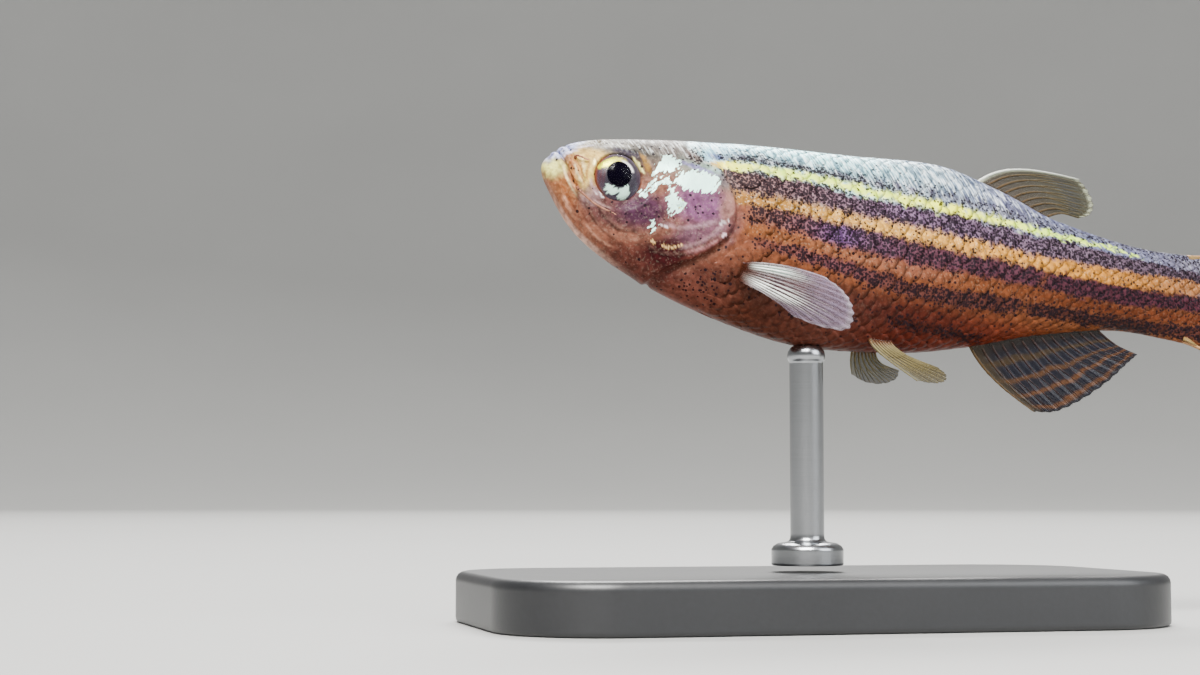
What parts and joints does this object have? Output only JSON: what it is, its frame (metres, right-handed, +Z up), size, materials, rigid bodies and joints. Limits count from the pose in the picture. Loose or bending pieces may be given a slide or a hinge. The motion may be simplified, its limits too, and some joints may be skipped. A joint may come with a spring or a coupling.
{
  "type": "zebra danio display model",
  "caption": "Life-size still model of a striped zebra danio with spread fins, held head-up and slightly banked on a small stand.",
  "frame": {"origin": "centre of the underside of the stand's base", "axes": "+X along the base towards the fish's tail, with the head towards -X, -Y on the fish's left side, +Z up; the fish is pitched head-up and banked on its rod"},
  "size_m": [0.046, 0.018, 0.0228],
  "materials": {
    "skin": "wet scaled skin, pearly back, dark and gold stripes, orange belly",
    "eye": "glossy eye with a dark iris, gold and silver patches and a black pupil",
    "fin": "clear membrane over pale rays, striped on the anal and tail fins",
    "base": "satin dark plate",
    "rod": "brushed"
  },
  "bodies": {
    "root": {"head": "skin", "trunk": "skin", "tail": "skin", "barbel_left": "skin", "barbel_right": "skin", "eye_left": "eye", "eye_right": "eye", "dorsal_fin": "fin", "anal_fin": "fin", "tail_fin": "fin", "pectoral_fin_left": "fin", "pectoral_fin_right": "fin", "pelvic_fin_left": "fin", "pelvic_fin_right": "fin", "stand_base": "base", "stand_rod": "rod"}
  },
  "joints": []
}
